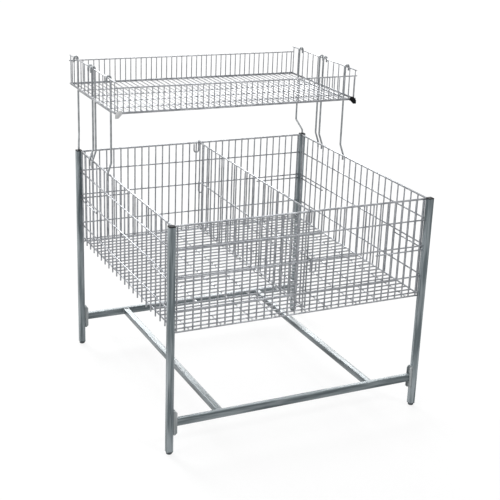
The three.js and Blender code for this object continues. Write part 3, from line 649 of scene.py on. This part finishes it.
def make_bolts():
    """A washer, a hexagon head and a plain shank."""
    for name, x, y in CORNERS:
        for level, sign in (("upper", 1), ("lower", -1)):
            mesh = bmesh.new()
            inner = Vector((-x, 0, 0))
            seat = x * (LEG_X - LEG_HALF - CLAW_PLATE - 2 * FIT)
            start = Vector((seat, y * LEG_Y, BAR_Z + sign * BOLT_OFFSET))
            head = start + inner * (WASHER_THICKNESS + HEAD_THICKNESS / 2)
            add_disc(mesh, head, inner, HEAD_RADIUS, HEAD_THICKNESS, HEAD_SIDES)
            round_ends(mesh, HEAD_SIDES, HEAD_EDGE)
            washer = start + inner * WASHER_THICKNESS / 2
            add_disc(mesh, washer, inner, WASHER_RADIUS, WASHER_THICKNESS, WASHER_SIDES)
            shank = start - inner * SHANK_LENGTH / 2
            add_disc(mesh, shank, inner, SHANK_RADIUS, SHANK_LENGTH, SHANK_SIDES)
            node = "claw_bolt_" + level + "_" + name
            finish_piece(mesh, "hex_bolt_" + level + "_" + name, node, "frame", [BOLT])


# Welded grilles

def on_wall(axis, along, plane, z, across=0.0):
    """A point of a wall: the place along it, then its plane."""
    return (along, plane + across, z) if axis == 0 else (plane + across, along, z)


def crossing(normal, radius):
    """Size of the weld between two wires that cross, flat along the normal of their grille."""
    return tuple(radius * (CROSSING_FLAT if axis == normal else CROSSING_WIDE) for axis in range(3))


def butting(along, radius):
    """Size of the weld where a wire ends in a rail."""
    return tuple(radius * (BUTTING_FLAT if axis == along else BUTTING_WIDE) for axis in range(3))


def make_wall(name, axis, sign, spaces, free_ends):
    """Uprights between the top rail and the bottom rail, with three cross rails on the outer side."""
    mesh = bmesh.new()
    plane = sign * WALL
    cross = sign * CROSS
    first = END_GAP - REACH
    welds = [
        (on_wall(axis, first, plane, RAIL_Z - drop, cross / 2), crossing(1 - axis, WIRE))
        for drop in RAIL_DROPS
    ]
    welds.append((on_wall(axis, first, plane, RAIL_Z - TOP_RAIL), butting(2, WIRE)))
    if not free_ends:
        welds.append((on_wall(axis, first, plane, BOTTOM_Z + EDGE_WIRE), butting(2, WIRE)))
    low, high = on_wall(axis, first, plane, BOTTOM_Z), on_wall(axis, first, plane, RAIL_Z)
    step = on_wall(axis, -2 * first / spaces, 0, 0)
    add_row(mesh, low, high, WIRE, step, spaces, welds)
    rails = [(RAIL_Z, TOP_RAIL, 0)] + [(RAIL_Z - drop, WIRE, cross) for drop in RAIL_DROPS]
    if not free_ends:
        rails.append((BOTTOM_Z, EDGE_WIRE, 0))
    for z, radius, across in rails:
        start, end = on_wall(axis, -REACH, plane, z, across), on_wall(axis, REACH, plane, z, across)
        join(mesh, new_wire(start, end, radius))
    for end in (-1, 1):
        tip = end * (REACH + FIT + TUBE_WALL + HOOK_TIP)
        tail = end * (REACH - HOOK_WIRE_LENGTH)
        start = on_wall(axis, tail, plane, HOOK_WIRE_Z, cross)
        join(mesh, new_wire(start, on_wall(axis, tip, plane, HOOK_WIRE_Z, cross), WIRE))
    finish_piece(mesh, "wire_wall_" + name, "wall_" + name, "frame", [BRIGHT_WIRE, WELD])


def make_walls():
    for name, sign in ENDS:
        make_wall(name, 0, sign, FRONT_SPACES, False)
    for name, sign in SIDES:
        make_wall(name, 1, sign, SIDE_SPACES, True)


def make_floor():
    """Runners from front to rear under thirty-one wires from side to side."""
    mesh = bmesh.new()
    pitch = 2 * (REACH - END_GAP) / FRONT_SPACES
    half_width = WALL - HALF_WIRE - FLOOR_SIDE_GAP - HALF_EDGE
    half_depth = WALL - 2 * HALF_WIRE - FIT
    reach = WALL + RUNNER_TIP
    runners = [spaces * pitch for spaces in FLOOR_RUNNERS]
    for x in runners:
        runner = new_wire((x, -reach, RUNNER_Z), (x, reach, RUNNER_Z), WIRE)
        # The runners wear the paler wire finish, which is a painted highlight
        coat(runner.faces, THIRD)
        join(mesh, runner)
    for x in (-half_width, half_width):
        join(mesh, new_wire((x, -reach, GRID_Z), (x, reach, GRID_Z), EDGE_WIRE))
    middle = (RUNNER_Z + GRID_Z) / 2
    welds = [((x, -half_depth, middle), crossing(2, WIRE)) for x in runners]
    start, end = (-half_width, -half_depth, GRID_Z), (half_width, -half_depth, GRID_Z)
    add_row(mesh, start, end, WIRE, (0, 2 * half_depth / FLOOR_SPACES, 0), FLOOR_SPACES, welds)
    finish_piece(mesh, "wire_floor", "floor_grid", "frame", [BRIGHT_WIRE, WELD, RUNNER_HIGHLIGHT_WIRE])


def loop_moves(side):
    """The loop of a hook: down, round to one side and back up."""
    axis = (0, -side, 0)
    return [
        LOOP_DROP - LOOP_BEND,
        (90, LOOP_BEND, axis),
        LOOP_WIDTH - 2 * LOOP_BEND,
        (90, LOOP_BEND, axis),
        LOOP_DROP - LOOP_BEND - LOOP_RETURN,
    ]


def make_divider():
    """A grille whose end wires and middle wire end in looped hooks outside the rails."""
    mesh = bmesh.new()
    bottom = GRID_Z + 2 * HALF_EDGE + DIVIDER_FLOOR_GAP
    top_hook = HALF_RAIL * math.sqrt(2) + HALF_WIRE + FIT
    middle_hook = HALF_WIRE * math.sqrt(2) + HALF_WIRE + FIT
    middle_z = RAIL_Z - RAIL_DROPS[1]
    end_y = WALL - top_hook
    pitch = 2 * end_y / DIVIDER_SPACES
    first = pitch - end_y
    welds = [
        ((DIVIDER_X, first, bottom + EDGE_WIRE), butting(2, WIRE)),
        ((DIVIDER_X, first, RAIL_Z - EDGE_WIRE), butting(2, WIRE)),
        ((DIVIDER_X + CROSS / 2, first, middle_z + middle_hook), crossing(0, WIRE)),
    ]
    low, high = (DIVIDER_X, first, bottom), (DIVIDER_X, first, RAIL_Z)
    add_row(mesh, low, high, WIRE, (0, pitch, 0), DIVIDER_SPACES - 2, welds)
    for z in (bottom, RAIL_Z):
        join(mesh, new_wire((DIVIDER_X, -end_y, z), (DIVIDER_X, end_y, z), EDGE_WIRE))
    for sign in (-1, 1):
        start = (DIVIDER_X, sign * end_y, bottom - HALF_EDGE)
        moves = [RAIL_Z - start[2], (180, top_hook, (-sign, 0, 0)), *loop_moves(-1)]
        add_bent_rod(mesh, start, (0, 0, 1), WIRE, moves, WIRE_SIDES)
    cross_y = WALL + CROSS
    over = [(90, middle_hook, (-1, 0, 0)), 2 * cross_y, (90, middle_hook, (-1, 0, 0))]
    start = (DIVIDER_X + CROSS + LOOP_WIDTH, -cross_y - middle_hook, middle_z - LOOP_RETURN)
    up_first = loop_moves(-1)[::-1]
    add_bent_rod(mesh, start, (0, 0, -1), WIRE, [*up_first, *over, *loop_moves(1)], WIRE_SIDES)
    finish_piece(mesh, "wire_divider", "divider", "divider", [BRIGHT_WIRE, WELD])


def make_tray_wall(name, axis, plane, middle, reach, rails, spaces):
    """Uprights butt-welded between a top rail and a bottom rail."""
    mesh = bmesh.new()
    first = middle - reach
    (top_z, top_start, top_end), (bottom_z, bottom_start, bottom_end) = rails
    welds = [
        (on_wall(axis, first, plane, top_z - TRAY_RAIL), butting(2, TRAY_WIRE)),
        (on_wall(axis, first, plane, bottom_z + TRAY_EDGE), butting(2, TRAY_WIRE)),
    ]
    low, high = on_wall(axis, first, plane, bottom_z), on_wall(axis, first, plane, top_z)
    add_row(mesh, low, high, TRAY_WIRE, on_wall(axis, 2 * reach / spaces, 0, 0), spaces, welds)
    start, end = on_wall(axis, top_start, plane, top_z), on_wall(axis, top_end, plane, top_z)
    join(mesh, new_wire(start, end, TRAY_RAIL))
    start, end = on_wall(axis, bottom_start, plane, bottom_z), on_wall(axis, bottom_end, plane, bottom_z)
    join(mesh, new_wire(start, end, TRAY_EDGE))
    node = "tray_wall_" + name
    finish_piece(mesh, "tray_wire_" + name, node, "upper_tray", [TRAY_FINISH, WELD])


def make_tray_walls():
    tip = TRAY_X + TRAY_TIP
    rails = ((TRAY_TOP_Z, -tip, tip), (TRAY_FLOOR_Z, -tip, tip))
    for name, y in (("front", TRAY_FRONT), ("rear", TRAY_REAR)):
        make_tray_wall(name, 0, y, 0, TRAY_X - TRAY_CORNER, rails, TRAY_SPACES)
    rails = (
        (TRAY_SIDE_Z, TRAY_FRONT - HALF_TRAY_RAIL, TRAY_REAR + HALF_TRAY_RAIL),
        (TRAY_FLOOR_Z, TRAY_FRONT + HALF_TRAY_EDGE + FIT, TRAY_REAR - HALF_TRAY_EDGE - FIT),
    )
    for name, side in SIDES:
        reach = TRAY_DEPTH / 2 - TRAY_CORNER
        make_tray_wall(name, 1, side * TRAY_X, TRAY_MIDDLE, reach, rails, TRAY_SIDE_SPACES)


def make_tray_floor():
    """Forty-five wires from front to rear over four from side to side."""
    mesh = bmesh.new()
    rows = [TRAY_FRONT + TRAY_DEPTH * i / TRAY_CROSS_SPACES for i in range(1, TRAY_CROSS_SPACES)]
    for y in (TRAY_FRONT, TRAY_REAR):
        join(mesh, new_wire((-TRAY_X, y, TRAY_GRID_Z), (TRAY_X, y, TRAY_GRID_Z), TRAY_EDGE))
    for y in rows:
        join(mesh, new_wire((-TRAY_X, y, TRAY_CROSS_Z), (TRAY_X, y, TRAY_CROSS_Z), TRAY_WIRE))
    middle = (TRAY_GRID_Z + TRAY_CROSS_Z) / 2
    welds = [((-TRAY_X, y, middle), crossing(2, TRAY_WIRE)) for y in rows]
    start, end = (-TRAY_X, TRAY_FRONT, TRAY_GRID_Z), (-TRAY_X, TRAY_REAR, TRAY_GRID_Z)
    add_row(mesh, start, end, TRAY_WIRE, (2 * TRAY_X / TRAY_SPACES, 0, 0), TRAY_SPACES, welds)
    finish_piece(mesh, "tray_wire_floor", "tray_floor", "upper_tray", [TRAY_FINISH, WELD])


def make_tray_clips():
    """A sloped plastic plate in front of each corner, with a jaw below the floor."""
    back = TRAY_FRONT - HALF_TRAY_EDGE - FIT
    jaw_top = TRAY_GRID_Z - HALF_TRAY_EDGE - FIT
    clips = (("left", -1, GREY, "grey_plastic"), ("right", 1, BLACK, "black_plastic"))
    for name, side, plastic, slot in clips:
        mesh = bmesh.new()
        verts = [mesh.verts.new((side * (TRAY_X + x), back, TRAY_FLOOR_Z + z)) for x, z in CLIP_OUTLINE]
        made = bmesh.ops.extrude_face_region(mesh, geom=[mesh.faces.new(verts)])
        fresh = [part for part in made["geom"] if isinstance(part, bmesh.types.BMVert)]
        bmesh.ops.translate(mesh, vec=(0, -CLIP_THICKNESS, 0), verts=fresh)
        bmesh.ops.recalc_face_normals(mesh, faces=mesh.faces)
        bevel(mesh, mesh.edges[:], CLIP_EDGE, EDGE_STEPS)
        x = side * (TRAY_X + (CLIP_OUTLINE[0][0] + CLIP_OUTLINE[2][0]) / 2)
        jaw = bmesh.new()
        low = (x - CLIP_JAW_WIDTH / 2, back - CLIP_THICKNESS / 2, jaw_top - CLIP_JAW_HEIGHT)
        add_box(jaw, low, (x + CLIP_JAW_WIDTH / 2, back + CLIP_JAW, jaw_top))
        bevel(jaw, jaw.edges[:], CLIP_EDGE, EDGE_STEPS)
        join(mesh, jaw)
        finish_piece(mesh, "corner_clip_" + name, "tray_clip_" + name, "upper_tray", [plastic])


# Supports of the tray

def over_tray(side):
    return [(180, TRAY_HOOK, (0, side, 0)), TRAY_HOOK_TAIL]


def rail_rod(mesh, side, y):
    """A rod whose hooked foot stands outside the side rail of the table."""
    outside = WALL + RAIL_HOOK
    tangent = RAIL_HOOK * math.tan(LEAN / 2)
    back = CRANK_BEND * math.tan(LEAN / 2)
    slope = (outside - ROD_X) / math.sin(LEAN)
    top = RAIL_Z + tangent + slope * math.cos(LEAN) + back
    degrees = math.degrees(LEAN)
    moves = [
        FOOT_HOOK_TAIL,
        (degrees, RAIL_HOOK, (0, -side, 0)),
        slope - tangent - back,
        (degrees, CRANK_BEND, (0, side, 0)),
        TRAY_SIDE_Z - top,
        *over_tray(side),
    ]
    add_bent_rod(mesh, (side * outside, y, RAIL_Z - FOOT_HOOK_TAIL), (0, 0, 1), ROD, moves)


def cap_rod(mesh, side, y):
    """The rearmost rod stands in the cap of the rear leg and leans to its place under the tray."""
    slope = (WALL + RAIL_HOOK - ROD_X) / math.tan(LEAN)
    knee_z = RAIL_Z + RAIL_HOOK * math.tan(LEAN / 2) + slope + CRANK_FOOT
    foot = Vector((side * LEG_X, LEG_Y, HEIGHT + CRANK_FOOT))
    knee = Vector((side * ROD_X, y, knee_z))
    up = Vector((0, 0, 1))
    angle = up.angle(knee - foot)
    axis = up.cross(knee - foot).normalized()
    back = CRANK_BEND * math.tan(angle / 2)
    moves = [
        SPIGOT + CRANK_FOOT - back,
        (math.degrees(angle), CRANK_BEND, axis),
        (knee - foot).length - 2 * back,
        (math.degrees(angle), CRANK_BEND, -axis),
        TRAY_SIDE_Z - knee_z - back,
        *over_tray(side),
    ]
    add_bent_rod(mesh, foot - up * (SPIGOT + CRANK_FOOT), up, ROD, moves)


def make_supports():
    """Two bent rods joined by a brace, their tops hooked over the side rail of the tray."""
    for side_name, side in SIDES:
        for end_name, end in ENDS:
            near = SUPPORT_MIDDLE + end * PAIR_GAP / 2
            far = near + end * FRAME_WIDTH
            mesh = new_wire((side * ROD_X, near, BRACE_Z), (side * ROD_X, far, BRACE_Z), BRACE)
            for y, inward in ((near, end), (far, -end)):
                add_weld(mesh, (side * ROD_X, y + inward * ROD, BRACE_Z), butting(1, BRACE))
            rail_rod(mesh, side, near)
            if end > 0:
                cap_rod(mesh, side, far)
            else:
                rail_rod(mesh, side, far)
            node = "support_" + side_name + "_" + end_name
            name = "bent_rods_" + side_name + "_" + end_name
            finish_piece(mesh, name, node, "upper_tray", [ROD_WIRE, WELD])


make_legs()
make_caps()
make_feet()
make_lower_frame()
make_claws()
make_bolts()
make_walls()
make_floor()
make_divider()
make_tray_walls()
make_tray_floor()
make_tray_clips()
make_supports()


# Floor, light and camera

FLOOR_REACH = 60
FLOOR_THROWN = 0.25
FLOOR_SEEN = 0.96
WHITE_SHARE = 0.8
WHITE = 1.0
WORLD_LIGHT = 0.40
CAMERA_PLACE = Vector((-1.92457, -4.02062, 2.15941))
CAMERA_AZIMUTH = math.radians(-28.107)
CAMERA_ELEVATION = math.radians(20.486)
CAMERA_ROLL = math.radians(2.949)
FOCAL_LENGTH = 81.48
FILM_WIDTH = 36
LENS_SHIFT_X = -0.08
LENS_SHIFT_Y = 0.036
FAR_CLIP = 200


def seen_directly(tree):
    """One for the eye, in gloss and through glass, nought for light on its way to the object."""
    path = tree.nodes.new("ShaderNodeLightPath")
    value = path.outputs["Is Camera Ray"]
    for ray in ("Is Glossy Ray", "Is Transmission Ray"):
        either = tree.nodes.new("ShaderNodeMath")
        either.operation = "MAXIMUM"
        tree.links.new(value, either.inputs[0])
        tree.links.new(path.outputs[ray], either.inputs[1])
        value = either.outputs["Value"]
    return value


def make_studio_floor():
    """White to the eye, with a faint shadow, and grey in the light that it throws back."""
    mesh = bmesh.new()
    bmesh.ops.create_grid(mesh, x_segments=1, y_segments=1, size=FLOOR_REACH)
    data = bpy.data.meshes.new("studio_floor")
    mesh.to_mesh(data)
    mesh.free()
    floor = bpy.data.objects.new("studio_floor", data)
    scene.collection.objects.link(floor)
    paint, shader = new_finish("studio_paint", metallic=0.0, roughness=0.9)
    tree = paint.node_tree
    direct = seen_directly(tree)
    tone = tree.nodes.new("ShaderNodeMix")
    tone.data_type = "RGBA"
    tone.inputs["A"].default_value = (FLOOR_THROWN, FLOOR_THROWN, FLOOR_THROWN, 1)
    tone.inputs["B"].default_value = (FLOOR_SEEN, FLOOR_SEEN, FLOOR_SEEN, 1)
    tree.links.new(direct, tone.inputs["Factor"])
    tree.links.new(tone.outputs["Result"], shader.inputs["Base Color"])
    shader.inputs["Specular IOR Level"].default_value = 0.0
    white = tree.nodes.new("ShaderNodeEmission")
    white.inputs["Strength"].default_value = WHITE
    share = tree.nodes.new("ShaderNodeMath")
    share.operation = "MULTIPLY"
    share.inputs[1].default_value = WHITE_SHARE
    tree.links.new(direct, share.inputs[0])
    mix = tree.nodes.new("ShaderNodeMixShader")
    tree.links.new(share.outputs["Value"], mix.inputs["Fac"])
    tree.links.new(shader.outputs["BSDF"], mix.inputs[1])
    tree.links.new(white.outputs["Emission"], mix.inputs[2])
    tree.links.new(mix.outputs["Shader"], tree.nodes["Material Output"].inputs["Surface"])
    data.materials.append(paint)


def make_world():
    """White behind the object for the eye and in its gloss, a plain grey level as its light."""
    world = bpy.data.worlds.new("studio")
    scene.world = world
    world.use_nodes = True
    tree = world.node_tree
    light = tree.nodes["Background"]
    light.inputs["Color"].default_value = (1, 1, 1, 1)
    light.inputs["Strength"].default_value = WORLD_LIGHT
    seen = tree.nodes.new("ShaderNodeBackground")
    seen.inputs["Color"].default_value = (1, 1, 1, 1)
    seen.inputs["Strength"].default_value = WHITE
    mix = tree.nodes.new("ShaderNodeMixShader")
    tree.links.new(seen_directly(tree), mix.inputs["Fac"])
    tree.links.new(light.outputs["Background"], mix.inputs[1])
    tree.links.new(seen.outputs["Background"], mix.inputs[2])
    tree.links.new(mix.outputs["Shader"], tree.nodes["World Output"].inputs["Surface"])


def add_sun(name, direction, strength, degrees):
    """A sun whose light comes from a direction, its disc a few degrees wide."""
    sun = bpy.data.lights.new(name, "SUN")
    sun.energy = strength
    sun.angle = math.radians(degrees)
    holder = bpy.data.objects.new(name, sun)
    scene.collection.objects.link(holder)
    holder.matrix_world = (-Vector(direction)).to_track_quat("-Z", "Y").to_matrix().to_4x4()


def make_lamps():
    add_sun("overhead", (-0.3, 0.6, 4.6), strength=0.6, degrees=45)
    add_sun("rear_right", (1.6, 3.4, 1.8), strength=0.9, degrees=24)
    add_sun("front_right", (1.6, -3.0, 3.6), strength=0.6, degrees=9)
    add_sun("rear_left", (-0.4, 3.4, 2.2), strength=2.0, degrees=25)
    add_sun("left_key", (-3.0, -0.4, 1.0), strength=0.8, degrees=30)


def make_camera():
    azimuth, elevation, roll = CAMERA_AZIMUTH, CAMERA_ELEVATION, CAMERA_ROLL
    back = Vector((
        math.sin(azimuth) * math.cos(elevation),
        -math.cos(azimuth) * math.cos(elevation),
        math.sin(elevation),
    ))
    level = Vector((math.cos(azimuth), math.sin(azimuth), 0))
    up = back.cross(level)
    right = level * math.cos(roll) + up * math.sin(roll)
    top = up * math.cos(roll) - level * math.sin(roll)
    lens = bpy.data.cameras.new("camera")
    lens.sensor_width = FILM_WIDTH
    lens.lens = FOCAL_LENGTH
    lens.shift_x = LENS_SHIFT_X
    lens.shift_y = LENS_SHIFT_Y
    lens.clip_end = FAR_CLIP
    camera = bpy.data.objects.new("camera", lens)
    scene.collection.objects.link(camera)
    turn = Matrix((right, top, back)).transposed().to_4x4()
    camera.matrix_world = Matrix.Translation(CAMERA_PLACE + SHIFT) @ turn
    scene.camera = camera


make_studio_floor()
make_world()
make_lamps()
make_camera()
scene.view_settings.view_transform = "Standard"
